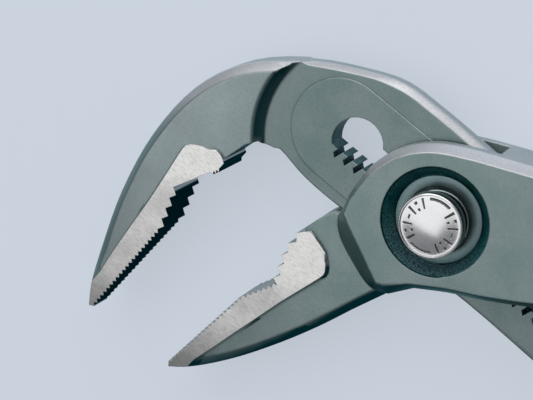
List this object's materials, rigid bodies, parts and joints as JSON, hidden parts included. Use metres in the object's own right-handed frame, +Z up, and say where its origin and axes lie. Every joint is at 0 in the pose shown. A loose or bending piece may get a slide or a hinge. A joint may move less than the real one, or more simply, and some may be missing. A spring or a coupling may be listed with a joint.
{
  "type": "water pump pliers",
  "caption": "Slip-joint water pump pliers: offset toothed jaws, a toothed slot held by a sprung push-button bolt in a box joint, and sleeved handles.",
  "frame": {"origin": "under the middle of the tool's bounding box, on the surface that it lies on", "axes": "+X along the handles, away from the jaws; +Y towards the back of the hooked jaw; +Z up through the joint, towards the push button"},
  "size_m": [0.2504, 0.0792, 0.0181],
  "materials": {
    "forged_steel": "grey phosphated forging with bright ground gripping faces",
    "ground_steel": "ground bare steel",
    "bright_steel": "bright satin plated steel",
    "spring_wire": "drawn spring wire",
    "dipped_vinyl": "smooth dipped soft vinyl"
  },
  "bodies": {
    "rack_side": {"rack_lever": "forged_steel", "lower_grip": "dipped_vinyl"},
    "joint_seat": {"seat_ring": "ground_steel", "button_spring": "spring_wire"},
    "box_side": {"box_lever": "forged_steel", "upper_grip": "dipped_vinyl"},
    "lock_bolt": {"joint_bolt": "ground_steel", "push_button": "bright_steel"}
  },
  "joints": [
    {"name": "jaw_adjust", "type": "slide", "parent": "rack_side", "child": "joint_seat", "axis": [0.9613, -0.2756, 0], "range_m": [-0.0154, 0.0242]},
    {"name": "jaw_pivot", "type": "hinge", "parent": "joint_seat", "child": "box_side", "pos_m": [-0.06766, 0.00962, 0.0075], "axis": [0, 0, 1], "range_deg": [-1.5, 26]},
    {"name": "button_press", "type": "slide", "parent": "joint_seat", "child": "lock_bolt", "axis": [0, 0, -1], "range_m": [0, 0.0028], "stiffness_N_per_m": 2000, "springref_m": -0.002, "deforming": ["button_spring"]}
  ]
}
